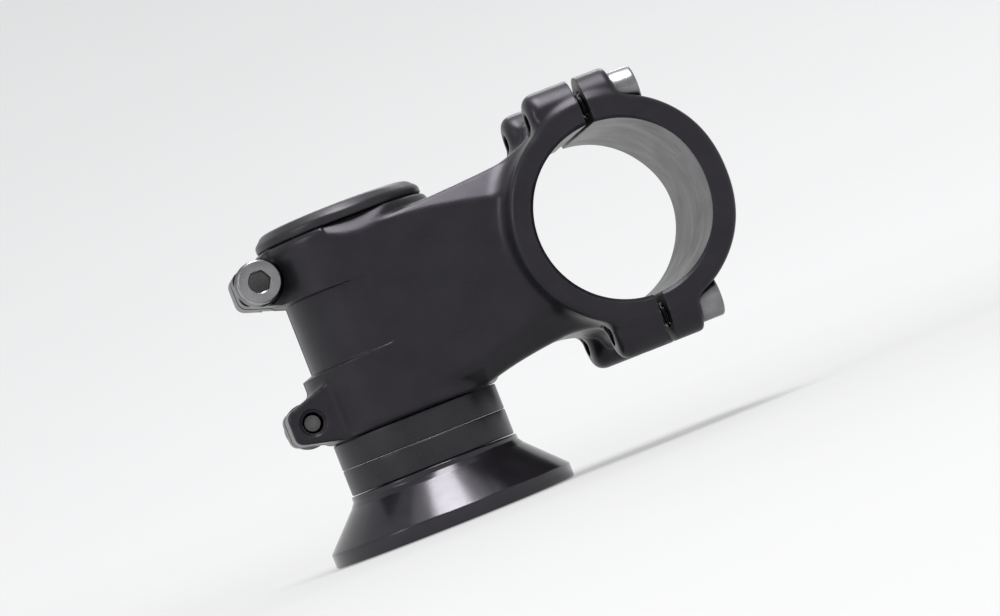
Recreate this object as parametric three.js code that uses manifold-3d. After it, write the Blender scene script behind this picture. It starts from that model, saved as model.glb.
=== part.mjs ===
/**
 * Mountain bike handlebar stem with the stack that it clamps: headset cover, spacers, star nut and top cap.
 *
 * Units are millimetres. +Z runs up the steerer tube's axis, +X points forward along the stem and +Y is the
 * rider's left. The origin is on the steerer's axis at the underside of the headset cover.
 *
 * The stem slides over the fork's steerer tube and is pinched onto it by two bolts behind it, whose heads
 * face opposite ways. Four bolts hold the faceplate, which closes round the handlebar. The top cap's bolt
 * screws into a star nut inside the steerer, and takes up the play in the headset before the pinch bolts are
 * tightened.
 */
import * as THREE from "three";
import { mergeVertices } from "three/addons/utils/BufferGeometryUtils.js";
import Module from "manifold-3d";

// ---------------------------------------------------------------- driving dimensions
const STEERER_RADIUS = 14.3;
const HANDLEBAR_RADIUS = 17.5;
const REACH = 50; // steerer axis to handlebar axis
const RISE = 2; // handlebar axis above the middle of the steerer clamp

const CLAMP_HEIGHT = 40;
const CLAMP_RADIUS = 18;
const CLAMP_BORE_RADIUS = STEERER_RADIUS + 0.05;

const BAR_CLAMP_RADIUS = 22.3;
const BAR_CLAMP_WIDTH = 46;
const BAR_CLAMP_CHAMFER = 1.2;
const BAR_BORE_RADIUS = HANDLEBAR_RADIUS + 0.05;
const SPLIT_GAP = 1.8; // between the stem and the faceplate
const CLAMP_SLOT = 1.6; // the cut that lets the steerer clamp close

// The extension's section at the steerer's axis, with its heights from the middle of the steerer clamp.
const ARM_HALF_WIDTH = 17.6;
const ARM_WIDENING = 4.6; // how much the half width grows by the handlebar's axis
const ARM_TOP = 17.4;
const ARM_TOP_RISE = { straight: 0.6, curved: 3.4 }; // by the handlebar's axis
const ARM_BOTTOM = 15.5;
const ARM_HEEL = { x: 17.8, depth: 3.5, length: 14 }; // it is deeper here, and fades out forwards
const ARM_LOWER_BEVEL = 3.2;
const ARM_LOWER_BEVEL_GROWTH = 4; // by the handlebar's axis

// The upper bevel is a sloping face along the clamp and the extension.
const BEVEL_START = -5; // it begins here, behind the steerer's axis
const BEVEL_SLOPE = 0.6; // how much it narrows for each millimetre of height
const BEVEL_HALF_WIDTH = 27.9; // its half width carried down to the middle of the clamp
const BEVEL_TAPER = 0.05; // how much it narrows for each millimetre forwards

const WAIST_LOW = -5.7; // the relief round the back of the clamp, from the clamp's middle
const WAIST_HIGH = 8.2;
const WAIST_FRONT = 1.2; // it ends here, before the steerer's axis
const WAIST_REAR_WALL = 15.9; // metal left behind the steerer's axis

const COVER_HEIGHT = 12;
const COVER_RADIUS = 25;
const SPACER_HEIGHT = 5;
const SPACER_RADIUS = 17;
const SPACER_BORE_RADIUS = STEERER_RADIUS + 0.2;
const TOP_CAP_HEIGHT = 3.2;
const TOP_CAP_RADIUS = 17.2;
const STEERER_INNER_RADIUS = 12.7;

const JOINT_GAP = 0.25; // between two pieces that bear on each other
const FAR = 40; // past every piece, for the reach of a cutting tool
const ROUND = 48; // facets round a large turned piece
const SMALL_ROUND = 24; // facets round a bolt or its hole

// A screw's shank, tapped hole, clearance hole and head are radii, and its socket is measured across flats.
const M5 = {
  shank: 2.45,
  tapped: 2.65,
  clearance: 2.8,
  head: 4.25,
  headHeight: 5,
  hexFlats: 4,
  hexDepth: 2.6,
};
const M6 = {
  shank: 2.92,
  tapped: 3.1,
  clearance: 3.3,
  head: 5,
  headHeight: 4.2,
  hexFlats: 5,
  hexDepth: 2.6,
};
const WASHER = { inner: 2.75, outer: 4.6, thickness: 1 };
const SEAL = { outer: 16.4, bottom: 8.8, top: 10.8 };
const STAR = {
  height: 11,
  sleeve: 4.6,
  flange: 5.6,
  lip: 1.2, // thickness of each flange
  bend: 7, // where a leaf begins to rise
  lift: 1.7, // how far its petals rise
  radius: 12.4,
  thickness: 0.9,
  petals: 8,
  slot: 2.6, // between two petals
};

const PINCH_BOLT_LENGTH = 16;
const PINCH_BOLT_BEHIND = 19.8; // pinch bolt axis behind the steerer axis
const PINCH_BOLT_SPREAD = 14.5; // each pinch bolt above or below the middle of the clamp
const PINCH_SEAT = 7; // washer seat from the stem's middle plane

const FACE_BOLT_LENGTH = 16;
const FACE_BOLT_ACROSS = 16.6; // each faceplate bolt left or right of the middle plane
const FACE_BOLT_SPREAD = 21.8; // each faceplate bolt above or below the handlebar axis
const FACE_SEAT = 5.5; // washer seat in front of the handlebar axis

const LUG_RADIUS = 5.6;
const LUG_BACK = -10.5; // rear end of the lugs behind the handlebar axis

const TOP_BOLT_LENGTH = 30;
const STAR_NUT_DEPTH = 17; // star nut's top below the top of the steerer clamp

// ---------------------------------------------------------------- levels on the steerer's axis
const SPACER_LOWER_Z = COVER_HEIGHT + JOINT_GAP;
const SPACER_UPPER_Z = SPACER_LOWER_Z + SPACER_HEIGHT + JOINT_GAP;
const CLAMP_BOTTOM_Z = SPACER_UPPER_Z + SPACER_HEIGHT + JOINT_GAP;
const CLAMP_MIDDLE_Z = CLAMP_BOTTOM_Z + CLAMP_HEIGHT / 2;
const CLAMP_TOP_Z = CLAMP_BOTTOM_Z + CLAMP_HEIGHT;
const TOP_CAP_Z = CLAMP_TOP_Z + JOINT_GAP;
const TOP_CAP_SEAT = TOP_CAP_HEIGHT - M6.headHeight - 0.3; // under the bolt's head, from the cap's underside

// ---------------------------------------------------------------- solids
const wasm = await Module();
wasm.setup();

/** A closed three.js geometry as a manifold-3d solid with its faces pointing out. */
function toSolid(geometry) {
  const loose = geometry.index ? geometry.toNonIndexed() : geometry;
  const bare = new THREE.BufferGeometry().setAttribute("position", loose.getAttribute("position"));
  const merged = mergeVertices(bare, 1e-4);
  const triangles = [];
  const corners = merged.index.array;
  for (let i = 0; i < corners.length; i += 3) {
    const [a, b, c] = corners.slice(i, i + 3);
    if (a !== b && b !== c && c !== a) triangles.push(a, b, c);
  }
  const build = (triVerts) =>
    new wasm.Manifold(
      new wasm.Mesh({
        numProp: 3,
        vertProperties: merged.attributes.position.array,
        triVerts: new Uint32Array(triVerts),
      }),
    );
  const made = build(triangles);
  return made.volume() > 0 ? made : build(triangles.reverse());
}

/** A manifold-3d solid as a three.js geometry with flat faces. */
function toGeometry(solid) {
  const { vertProperties, triVerts } = solid.getMesh();
  const geometry = new THREE.BufferGeometry();
  geometry.setAttribute("position", new THREE.BufferAttribute(new Float32Array(vertProperties), 3));
  geometry.setIndex(new THREE.BufferAttribute(new Uint32Array(triVerts), 1));
  const flat = geometry.toNonIndexed();
  flat.computeVertexNormals();
  return flat;
}

const join = (...shapes) => toGeometry(shapes.map(toSolid).reduce((a, b) => a.add(b)));
const cut = (shape, ...tools) =>
  toGeometry(tools.map(toSolid).reduce((a, b) => a.subtract(b), toSolid(shape)));
const common = (shape, tool) => toGeometry(toSolid(shape).intersect(toSolid(tool)));

/** A piece turned about Z from [radius, z] points, which start and end on the axis or close on themselves. */
function turned(profile, segments = ROUND) {
  const points = profile.map(([radius, z]) => new THREE.Vector2(radius, z));
  return new THREE.LatheGeometry(points, segments).rotateX(Math.PI / 2);
}

/** The closed [radius, z] outline of a ring with chamfered corners. */
function ringOutline(inner, outer, bottom, top, chamfer = 0) {
  const c = chamfer;
  if (c === 0) return [[inner, bottom], [outer, bottom], [outer, top], [inner, top], [inner, bottom]];
  return [
    [inner, bottom + c],
    [inner + c, bottom],
    [outer - c, bottom],
    [outer, bottom + c],
    [outer, top - c],
    [outer - c, top],
    [inner + c, top],
    [inner, top - c],
    [inner, bottom + c],
  ];
}

/** A plain round rod from z = bottom to z = top. */
function rod(radius, bottom, top, segments = SMALL_ROUND) {
  const height = top - bottom;
  return new THREE.CylinderGeometry(radius, radius, height, segments)
    .rotateX(Math.PI / 2)
    .translate(0, 0, bottom + height / 2);
}

/** A box between two corners. */
function box([x0, y0, z0], [x1, y1, z1]) {
  const middle = [(x0 + x1) / 2, (y0 + y1) / 2, (z0 + z1) / 2];
  return new THREE.BoxGeometry(x1 - x0, y1 - y0, z1 - z0).translate(...middle);
}

const alongX = (geometry) => geometry.rotateY(Math.PI / 2); // turns +Z to +X
const alongY = (geometry) => geometry.rotateX(-Math.PI / 2); // turns +Z to +Y

/** A closed skin over rings of points, each ring an array of Vector3 with the same count. */
function loft(rings) {
  const positions = [];
  const count = rings[0].length;
  const face = (...points) => points.forEach((p) => positions.push(p.x, p.y, p.z));
  for (let r = 0; r + 1 < rings.length; r++) {
    for (let i = 0; i < count; i++) {
      const j = (i + 1) % count;
      face(rings[r][i], rings[r][j], rings[r + 1][j]);
      face(rings[r][i], rings[r + 1][j], rings[r + 1][i]);
    }
  }
  for (const [ring, turn] of [[rings[0], -1], [rings.at(-1), 1]]) {
    const middle = ring.reduce((sum, p) => sum.add(p), new THREE.Vector3()).divideScalar(count);
    for (let i = 0; i < count; i++) {
      const j = (i + 1) % count;
      if (turn > 0) face(middle, ring[i], ring[j]);
      else face(middle, ring[j], ring[i]);
    }
  }
  const geometry = new THREE.BufferGeometry();
  geometry.setAttribute("position", new THREE.Float32BufferAttribute(positions, 3));
  return geometry;
}

// ---------------------------------------------------------------- materials
const satinBlack = new THREE.MeshStandardMaterial({ color: 0x2a282b, roughness: 0.5, metalness: 0.4 });
const glossBlack = new THREE.MeshStandardMaterial({ color: 0x17151a, roughness: 0.18, metalness: 0.2 });
const anodisedBlack = new THREE.MeshStandardMaterial({ color: 0x26242a, roughness: 0.38, metalness: 0.6 });
const darkNickel = new THREE.MeshStandardMaterial({ color: 0x8b898c, roughness: 0.3, metalness: 1 });
const brightSteel = new THREE.MeshStandardMaterial({ color: 0xa9abad, roughness: 0.3, metalness: 1 });
const springSteel = new THREE.MeshStandardMaterial({ color: 0x77797c, roughness: 0.35, metalness: 1 });
const rubber = new THREE.MeshStandardMaterial({ color: 0x141414, roughness: 0.85, metalness: 0 });

/** A named mesh. */
function piece(name, geometry, material) {
  const mesh = new THREE.Mesh(geometry, material);
  mesh.name = name;
  return mesh;
}

// ---------------------------------------------------------------- fasteners
/** A socket head screw along Z with its head above z = 0 and its shank below. */
function socketScrew(size, length) {
  const { shank, head, headHeight, hexFlats, hexDepth } = size;
  const chamfer = 0.4;
  const blank = turned(
    [
      [0, -length],
      [shank - chamfer, -length],
      [shank, -length + chamfer],
      [shank, 0],
      [head, 0],
      [head, headHeight - chamfer],
      [head - chamfer, headHeight],
      [0, headHeight],
    ],
    SMALL_ROUND,
  );
  const hexRadius = hexFlats / Math.sqrt(3);
  return cut(blank, rod(hexRadius, headHeight - hexDepth, headHeight + 1, 6));
}

/** A flat washer from z = 0 up. */
function washer() {
  return turned(ringOutline(WASHER.inner, WASHER.outer, 0, WASHER.thickness), SMALL_ROUND);
}

/** A group holding a washer and its screw, both along +Z out of a seat at z = 0. */
function screwAndWasher(screwName, washerName, length) {
  const group = new THREE.Group();
  const ring = piece(washerName, washer(), darkNickel);
  ring.position.z = JOINT_GAP;
  const screw = piece(screwName, socketScrew(M5, length), darkNickel);
  screw.position.z = WASHER.thickness + 2 * JOINT_GAP;
  group.add(ring, screw);
  return group;
}

// ---------------------------------------------------------------- steerer stack
/** The headset's upper cover: a cone over a short brim, hollow underneath for the bearing. */
function headsetCover() {
  const bore = STEERER_RADIUS + 0.4;
  const edge = 0.5;
  const brimHeight = 3;
  const coneFoot = COVER_RADIUS - 1;
  const shoulder = 17.3; // top of the cone
  const fit = 0.2; // round the seal in its seat
  const hollow = { top: 7, neck: 19, shelf: 21, shelfZ: 3.2, skirt: 22.6 };
  return turned([
    [bore + 0.2, COVER_HEIGHT],
    [bore, COVER_HEIGHT - 0.2],
    [bore, SEAL.top + fit],
    [SEAL.outer + fit, SEAL.top + fit],
    [SEAL.outer + fit, SEAL.bottom - fit],
    [bore, SEAL.bottom - fit],
    [bore, hollow.top],
    [hollow.neck, hollow.top], // hollow for the compression ring
    [hollow.shelf, hollow.shelfZ],
    [hollow.skirt, hollow.shelfZ],
    [hollow.skirt, 0],
    [COVER_RADIUS - edge, 0],
    [COVER_RADIUS, edge],
    [COVER_RADIUS, brimHeight - edge],
    [COVER_RADIUS - edge, brimHeight],
    [coneFoot, brimHeight + edge],
    [shoulder + 0.9, COVER_HEIGHT - 2.2],
    [shoulder, COVER_HEIGHT - 1.1],
    [shoulder - 0.3, COVER_HEIGHT],
    [bore + 0.2, COVER_HEIGHT],
  ]);
}

/** The rubber ring in the cover's bore that keeps water off the steerer. */
function steererSeal() {
  return turned(ringOutline(STEERER_RADIUS + 0.1, SEAL.outer, SEAL.bottom, SEAL.top));
}

/** The split ring whose taper centres the steerer in the bearing. */
function compressionRing() {
  const inner = STEERER_RADIUS + 0.1;
  const narrow = 16.2;
  const wide = 18.6;
  const [bottom, taperTop, top] = [0.4, 3.4, 6.6];
  const split = 1.6;
  const whole = turned([
    [inner, bottom],
    [narrow, bottom],
    [wide, taperTop],
    [wide, top],
    [inner, top],
    [inner, bottom],
  ]);
  return cut(whole, box([-FAR, -split / 2, bottom - 1], [0, split / 2, top + 1]));
}

/** One spacer from z = 0 up. */
function spacer() {
  const chamfer = 0.4;
  return turned(ringOutline(SPACER_BORE_RADIUS, SPACER_RADIUS, 0, SPACER_HEIGHT, chamfer));
}

/** The star nut's threaded sleeve from z = 0 up, with a flange at each end that holds a leaf. */
function starSleeve() {
  const { height, sleeve, flange, lip } = STAR;
  return turned(
    [
      [M6.tapped, 0],
      [flange, 0],
      [flange, lip],
      [sleeve, lip],
      [sleeve, height - lip],
      [flange, height - lip],
      [flange, height],
      [M6.tapped, height],
      [M6.tapped, 0],
    ],
    SMALL_ROUND,
  );
}

/** One dished spring leaf of the star nut: a thin cone cut into petals that point up and grip the tube. */
function starLeaf() {
  const { sleeve, bend, lift, radius, thickness, petals, slot } = STAR;
  const inner = sleeve + 0.15;
  const cone = turned([
    [inner, 0],
    [bend, 0],
    [radius, lift],
    [radius, lift + thickness],
    [bend, thickness],
    [inner, thickness],
    [inner, 0],
  ]);
  const slots = Array.from({ length: petals }, (_, i) =>
    box([bend + 0.8, -slot / 2, -1], [radius + 2, slot / 2, lift + 3]).rotateZ((i / petals) * 2 * Math.PI),
  );
  return cut(cone, ...slots);
}

/** The top cap from z = 0 up: a domed disc with a plug that drops into the steerer. */
function topCap() {
  const plugRadius = STEERER_INNER_RADIUS - 0.4;
  const plugDepth = 4.5;
  const groove = { inner: plugRadius - 2, outer: plugRadius - 1.6, top: -1.5 };
  const headRoom = M6.head + 0.35;
  const headChamfer = 0.4;
  const outer = TOP_CAP_RADIUS;
  const edge = 2.4;
  const steps = 4;
  const dome = Array.from({ length: steps + 1 }, (_, i) => {
    const turn = (i / steps) * (Math.PI / 2);
    return [outer - edge + edge * Math.cos(turn), TOP_CAP_HEIGHT - edge + edge * Math.sin(turn)];
  });
  return turned([
    [M6.clearance, TOP_CAP_SEAT],
    [M6.clearance, -plugDepth],
    [groove.inner, -plugDepth],
    [groove.inner, groove.top],
    [groove.outer, groove.top],
    [groove.outer, -plugDepth],
    [plugRadius, -plugDepth],
    [plugRadius, 0],
    [outer, 0],
    ...dome,
    [headRoom + headChamfer, TOP_CAP_HEIGHT],
    [headRoom, TOP_CAP_HEIGHT - headChamfer],
    [headRoom, TOP_CAP_SEAT],
    [M6.clearance, TOP_CAP_SEAT],
  ]);
}

/** The pieces that the steerer carries round with it, and the top cap with its bolt. */
function steererStack() {
  const group = new THREE.Group();
  const add = (name, geometry, material, z) => {
    const mesh = piece(name, geometry, material);
    mesh.position.z = z;
    group.add(mesh);
  };
  add("headset_cover", headsetCover(), glossBlack, 0);
  add("steerer_seal", steererSeal(), rubber, 0);
  add("compression_ring", compressionRing(), brightSteel, 0);
  add("spacer_lower", spacer(), anodisedBlack, SPACER_LOWER_Z);
  add("spacer_upper", spacer(), anodisedBlack, SPACER_UPPER_Z);

  const sleeveZ = CLAMP_TOP_Z - STAR_NUT_DEPTH - STAR.height;
  const seatAbove = STAR.lip + JOINT_GAP;
  add("star_nut_sleeve", starSleeve(), brightSteel, sleeveZ);
  add("star_nut_lower_leaf", starLeaf(), springSteel, sleeveZ + seatAbove);
  add("star_nut_upper_leaf", starLeaf(), springSteel, sleeveZ + STAR.height - seatAbove - STAR.thickness);

  add("top_cap", topCap(), anodisedBlack, TOP_CAP_Z);
  add("top_cap_bolt", socketScrew(M6, TOP_BOLT_LENGTH), darkNickel, TOP_CAP_Z + TOP_CAP_SEAT + JOINT_GAP);
  return group;
}

// ---------------------------------------------------------------- stem body
// The stem's own group has its origin on the steerer's axis at the middle of the clamp.

/** Half the width at the height z on the upper bevel, and the height at a half width. */
const bevelWidth = (x, z) => BEVEL_HALF_WIDTH - BEVEL_TAPER * x - BEVEL_SLOPE * z;
const bevelHeight = (x, halfWidth) => (BEVEL_HALF_WIDTH - BEVEL_TAPER * x - halfWidth) / BEVEL_SLOPE;

/** One section across the arm at x: an octagon whose bevels widen towards the handlebar. */
function armSection(x) {
  const t = x / REACH;
  const half = ARM_HALF_WIDTH + ARM_WIDENING * t ** 2.4;
  const top = ARM_TOP + ARM_TOP_RISE.straight * t + ARM_TOP_RISE.curved * t * t;
  const heel = ARM_HEEL.depth * Math.exp((ARM_HEEL.x - x) / ARM_HEEL.length);
  const bottom = Math.min(ARM_BOTTOM + heel, CLAMP_HEIGHT / 2);
  const lowerBevel = ARM_LOWER_BEVEL + ARM_LOWER_BEVEL_GROWTH * t;
  const right = [
    [bevelWidth(x, top), top],
    [half, bevelHeight(x, half)],
    [half, lowerBevel - bottom],
    [half - lowerBevel, -bottom],
  ];
  const left = right.toReversed().map(([y, z]) => [-y, z]);
  return [...right, ...left].map(([y, z]) => new THREE.Vector3(x, y, z));
}

/** The arm from inside the steerer clamp to inside the handlebar clamp. */
function arm() {
  const stations = [1, 14.2, 17.5, 22, 27, 32, 37, 42, REACH - 4];
  return loft(stations.map(armSection));
}

/** What the upper bevel takes off one side of the steerer clamp. */
function clampBevel(side) {
  const far = 24; // outside the clamp's end and its side
  const section = (x) =>
    [
      [bevelWidth(x, far), far],
      [far, far],
      [far, bevelHeight(x, far)],
    ].map(([y, z]) => new THREE.Vector3(x, side * y, z));
  return loft([section(BEVEL_START), section(REACH / 2)]);
}

/** A drum along Y round the handlebar's axis, with chamfered ends. */
function barDrum(radius, width, chamfer = 0) {
  const half = width / 2;
  const profile = [
    [0, -half],
    [radius - chamfer, -half],
    [radius, -half + chamfer],
    [radius, half - chamfer],
    [radius - chamfer, half],
    [0, half],
  ];
  return alongY(turned(profile)).translate(REACH, 0, RISE);
}

/** The corners of the faceplate's bolt pattern as { name, y, z } in the stem's group. */
const FACE_CORNERS = ["upper", "lower"].flatMap((level) =>
  ["left", "right"].map((side) => ({
    name: `${level}_${side}`,
    y: (side === "left" ? 1 : -1) * FACE_BOLT_ACROSS,
    z: RISE + (level === "upper" ? 1 : -1) * FACE_BOLT_SPREAD,
  })),
);

/** A lug along X for a faceplate bolt, with its far end tapered into the clamp. */
function lug(from, to, { y, z }) {
  const taper = 2;
  const edge = 0.6;
  const toFront = to > from;
  const [low, high] = toFront ? [from, to] : [to, from];
  const profile = [
    [0, low],
    [toFront ? LUG_RADIUS : LUG_RADIUS - taper, low],
    [LUG_RADIUS, toFront ? low : low + taper],
    [LUG_RADIUS, toFront ? high - edge : high],
    [toFront ? LUG_RADIUS - edge : LUG_RADIUS, high],
    [0, high],
  ];
  return alongX(turned(profile, SMALL_ROUND)).translate(REACH, y, z);
}

/** A bar across the clamp that joins the left and right lugs at one level. */
function lipBetweenLugs(fromX, toX, upper) {
  const sign = upper ? 1 : -1;
  const inner = RISE + sign * (HANDLEBAR_RADIUS + 0.6); // just outside the handlebar
  const outer = RISE + sign * (FACE_BOLT_SPREAD + 2.2); // just past the bolts' axes
  const low = Math.min(inner, outer);
  const high = Math.max(inner, outer);
  return box([REACH + fromX, -FACE_BOLT_ACROSS, low], [REACH + toX, FACE_BOLT_ACROSS, high]);
}

/** The half of the handlebar clamp that belongs to the stem, before its bores. */
function cradleBlank() {
  const front = -SPLIT_GAP / 2;
  const lugs = FACE_CORNERS.map((corner) => lug(front, LUG_BACK, corner));
  const lips = [true, false].map((upper) => lipBetweenLugs(LUG_BACK + 2.5, front, upper));
  const drum = barDrum(BAR_CLAMP_RADIUS, BAR_CLAMP_WIDTH, BAR_CLAMP_CHAMFER);
  const behindSplit = box([REACH - FAR, -FAR, RISE - FAR], [REACH + front, FAR, RISE + FAR]);
  return join(common(drum, behindSplit), ...lugs, ...lips);
}

/** A pinch bolt's boss behind the clamp, a wedge that narrows to the rear. sign is +1 for the upper one. */
function pinchBoss(sign) {
  const inner = 5.9; // half height at the root, towards the middle of the clamp
  const outer = 5.2; // half height at the root, towards the end of the clamp
  const [above, below] = sign > 0 ? [outer, inner] : [inner, outer];
  const front = -8; // inside the clamp's wall
  const root = -15.6;
  const rear = -24.3;
  const tip = 2.9; // half height at the rear
  const edge = { x: 1, z: 0.6 };
  const headSide = -sign; // the upper bolt's head is on the rider's right, at -Y
  const tappedEnd = 10.4;
  const outline = new THREE.Shape(
    [
      [front, -below],
      [root, -below],
      [rear + edge.x, -tip - edge.z],
      [rear, -tip + edge.z],
      [rear, tip - edge.z],
      [rear + edge.x, tip + edge.z],
      [root, above],
      [front, above],
    ].map(([x, z]) => new THREE.Vector2(x, z)),
  );
  const depth = PINCH_SEAT + tappedEnd;
  const prism = new THREE.ExtrudeGeometry(outline, { depth, bevelEnabled: false });
  prism.rotateX(Math.PI / 2); // the outline's up becomes +Z, and the depth runs along -Y
  const nearEnd = headSide < 0 ? tappedEnd : PINCH_SEAT;
  return prism.translate(0, nearEnd, sign * PINCH_BOLT_SPREAD);
}

/** The holes of one pinch bolt: clearance and a spot face on the head's side, a tapped hole on the other. */
function pinchHoles(sign) {
  const through = 20; // past both sides of the boss
  const place = (geometry) =>
    geometry.rotateX((sign * Math.PI) / 2).translate(-PINCH_BOLT_BEHIND, 0, sign * PINCH_BOLT_SPREAD);
  return [
    place(rod(M5.clearance, 0, through)),
    place(rod(M5.tapped, -through, 0)),
    place(rod(WASHER.outer + 0.35, PINCH_SEAT, through)),
  ];
}

/** The relief machined round the back of the clamp between the two bosses. */
function waistRelief() {
  const radius = (WAIST_REAR_WALL ** 2 + CLAMP_RADIUS ** 2) / (2 * WAIST_REAR_WALL);
  const kept = rod(radius, WAIST_LOW - 1, WAIST_HIGH + 1, ROUND).translate(radius - WAIST_REAR_WALL, 0, 0);
  const band = box([-30, -30, WAIST_LOW], [WAIST_FRONT, 30, WAIST_HIGH]);
  return cut(band, kept);
}

/** A block from x = 0 forwards, with the outline of a rectangle that has round corners. */
function roundedBlock({ y, z }, corner, length) {
  const outline = new THREE.Shape();
  outline.moveTo(corner - y, -z);
  outline.absarc(y - corner, corner - z, corner, -Math.PI / 2, 0);
  outline.absarc(y - corner, z - corner, corner, 0, Math.PI / 2);
  outline.absarc(corner - y, z - corner, corner, Math.PI / 2, Math.PI);
  outline.absarc(corner - y, corner - z, corner, Math.PI, 1.5 * Math.PI);
  const block = new THREE.ExtrudeGeometry(outline, { depth: length, bevelEnabled: false, curveSegments: 5 });
  return block.rotateX(Math.PI / 2).rotateZ(Math.PI / 2); // the outline faces +X
}

/** The hollow core of the forging, open to the handlebar's bore. */
function corePocket() {
  const back = CLAMP_BORE_RADIUS + 5.5;
  const half = { y: 12.5, z: 11 };
  return roundedBlock(half, 3.5, REACH - back).translate(back, 0, RISE / 2);
}

/** The steerer clamp's barrel, rounded at both ends. */
function clampBarrel() {
  const half = CLAMP_HEIGHT / 2;
  const edge = 1.1;
  const corner = 0.3 * edge; // the rounded corner's middle point
  return turned([
    [0, -half],
    [CLAMP_RADIUS - edge, -half],
    [CLAMP_RADIUS - corner, corner - half],
    [CLAMP_RADIUS, edge - half],
    [CLAMP_RADIUS, half - edge],
    [CLAMP_RADIUS - corner, half - corner],
    [CLAMP_RADIUS - edge, half],
    [0, half],
  ]);
}

/** The forging with its bores, its slot, its hollow core and its bolt holes. */
function stemBody() {
  const barrel = cut(clampBarrel(), clampBevel(1), clampBevel(-1), waistRelief());
  const forging = join(barrel, arm(), cradleBlank(), pinchBoss(1), pinchBoss(-1));
  const steererBore = rod(CLAMP_BORE_RADIUS, -FAR, FAR, ROUND);
  const slot = box([-FAR, -CLAMP_SLOT / 2, -FAR], [0, CLAMP_SLOT / 2, FAR]);
  const barBore = barDrum(BAR_BORE_RADIUS, 2 * FAR);
  const holeEnd = -20; // past the lugs' rear ends
  const faceHoles = FACE_CORNERS.map(({ y, z }) => alongX(rod(M5.tapped, holeEnd, 5)).translate(REACH, y, z));
  return cut(
    forging,
    steererBore,
    slot,
    barBore,
    corePocket(),
    ...faceHoles,
    ...pinchHoles(1),
    ...pinchHoles(-1),
  );
}

// ---------------------------------------------------------------- faceplate
/** A shallow panel sunk into the front of the faceplate. */
function facePanel() {
  const half = { y: 11.5, z: 9.5 };
  const depth = 1.1;
  const block = roundedBlock(half, 4, 20).translate(REACH + 10, 0, RISE);
  return cut(block, barDrum(BAR_CLAMP_RADIUS - depth, 60));
}

/** The shallow waist on one side of the faceplate. */
function faceWaist(side) {
  const depth = 2.4;
  const halfHeight = 15;
  const back = 8; // in front of the handlebar's axis
  const radius = (halfHeight ** 2 + depth ** 2) / (2 * depth);
  const middle = BAR_CLAMP_WIDTH / 2 - depth + radius;
  return alongX(rod(radius, back, FAR, 2 * ROUND)).translate(REACH, side * middle, RISE);
}

/** The half of the handlebar clamp that comes off. */
function faceplate() {
  const back = SPLIT_GAP / 2;
  const lugFront = FACE_SEAT + 1.6;
  const drum = barDrum(BAR_CLAMP_RADIUS, BAR_CLAMP_WIDTH, BAR_CLAMP_CHAMFER);
  const beforeSplit = box([REACH + back, -FAR, RISE - FAR], [REACH + FAR, FAR, RISE + FAR]);
  const lugs = FACE_CORNERS.map((corner) => lug(back, lugFront, corner));
  const lips = [true, false].map((upper) => lipBetweenLugs(back, FACE_SEAT - 1, upper));
  const blank = join(common(drum, beforeSplit), ...lugs, ...lips);
  const holes = FACE_CORNERS.flatMap(({ y, z }) => [
    alongX(rod(M5.clearance, -5, 20)).translate(REACH, y, z),
    alongX(rod(WASHER.outer + 0.3, FACE_SEAT, 30)).translate(REACH, y, z),
  ]);
  return cut(blank, barDrum(BAR_BORE_RADIUS, 2 * FAR), facePanel(), faceWaist(1), faceWaist(-1), ...holes);
}

// ---------------------------------------------------------------- assembly
/** The stem body with its pinch bolts, its faceplate and the faceplate's bolts. */
function stem() {
  const group = new THREE.Group();
  group.position.z = CLAMP_MIDDLE_Z;
  group.add(piece("stem_body", stemBody(), satinBlack));

  for (const [level, sign] of [["upper", 1], ["lower", -1]]) {
    const pair = screwAndWasher(`steerer_bolt_${level}`, `steerer_washer_${level}`, PINCH_BOLT_LENGTH);
    pair.rotation.x = (sign * Math.PI) / 2; // +Z out of the seat turns to -Y for the upper bolt
    pair.position.set(-PINCH_BOLT_BEHIND, -sign * PINCH_SEAT, sign * PINCH_BOLT_SPREAD);
    group.add(pair);
  }

  group.add(piece("faceplate", faceplate(), satinBlack));
  for (const { name, y, z } of FACE_CORNERS) {
    const pair = screwAndWasher(`faceplate_bolt_${name}`, `faceplate_washer_${name}`, FACE_BOLT_LENGTH);
    pair.rotation.y = Math.PI / 2;
    pair.position.set(REACH + FACE_SEAT, y, z);
    group.add(pair);
  }
  return group;
}

const assembly = new THREE.Group();
assembly.add(steererStack(), stem());

export default assembly;
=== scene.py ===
"""Looks of the handlebar stem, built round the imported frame.

Shapes are made in millimetres in the frame's own axes (+X forward, +Y left, +Z up the steerer) and scaled to
metres as they become objects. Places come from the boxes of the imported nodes, and the other sizes are the
solid model's.
"""

import math

import bpy
import numpy as np
from mathutils import Matrix, Vector


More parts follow.
